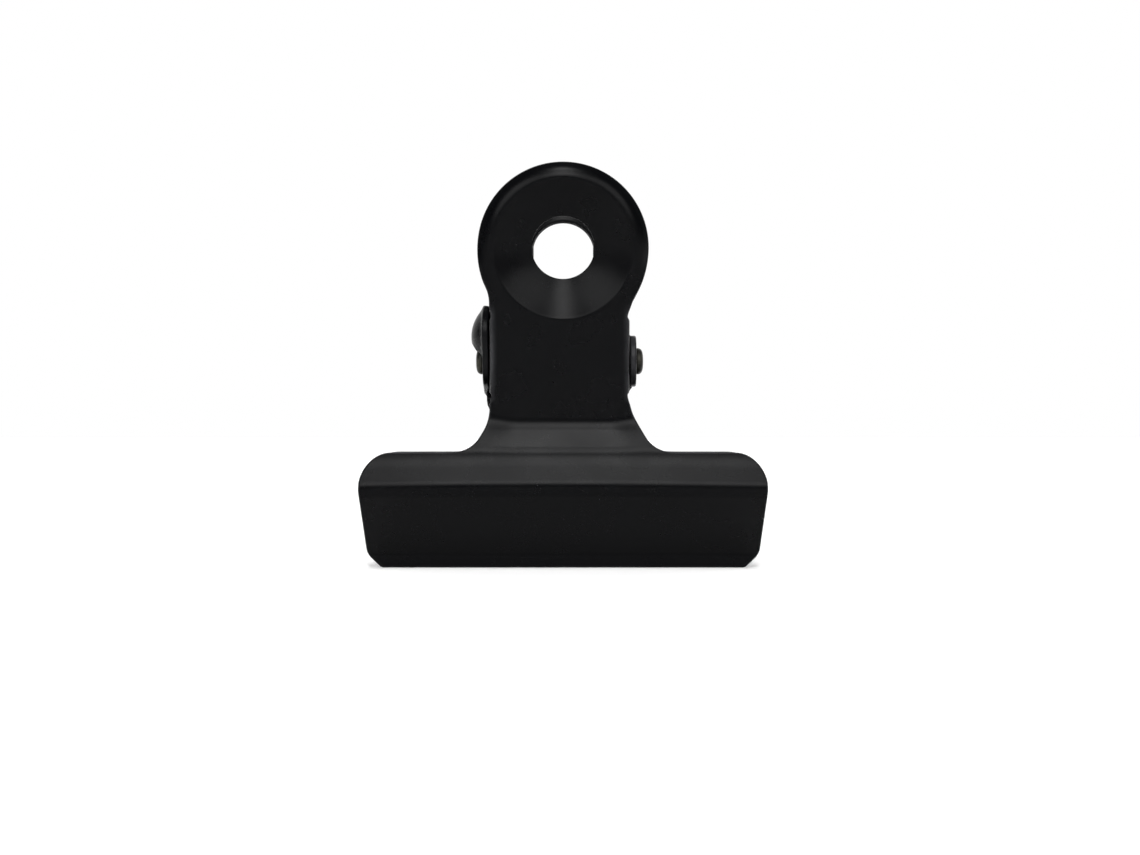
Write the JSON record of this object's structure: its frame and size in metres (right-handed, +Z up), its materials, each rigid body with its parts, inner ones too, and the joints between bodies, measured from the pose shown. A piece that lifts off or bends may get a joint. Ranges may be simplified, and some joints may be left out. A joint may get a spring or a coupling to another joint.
{
  "type": "bulldog clip",
  "caption": "Black bulldog clip with a wide sprung jaw, dished round handles with a hanging hole, and ears hinged on a pin.",
  "frame": {"origin": "on the floor of the part's box under the middle of the closed lips, midway between the two plates", "axes": "+X along the jaw to the viewer's right, -Y towards the viewer of the front plate, +Z up towards the handles"},
  "size_m": [0.05, 0.0156, 0.05],
  "materials": {
    "black_paint": "satin black paint on pressed steel sheet",
    "pin_steel": "blackened steel rivet, worn to bare metal at the upset ends",
    "spring_steel": "drawn spring wire, bright"
  },
  "bodies": {
    "rear": {"rear_plate": "black_paint", "hinge_pin": "pin_steel", "torsion_spring": "spring_steel"},
    "front": {"front_plate": "black_paint"}
  },
  "joints": [
    {"name": "jaw_hinge", "type": "hinge", "parent": "rear", "child": "front", "pos_m": [0, 0, 0.0258], "axis": [-1, 0, 0], "range_deg": [0, 24], "stiffness_Nm_per_rad": 0.5, "springref_deg": -28.65, "deforming": ["torsion_spring"]}
  ]
}
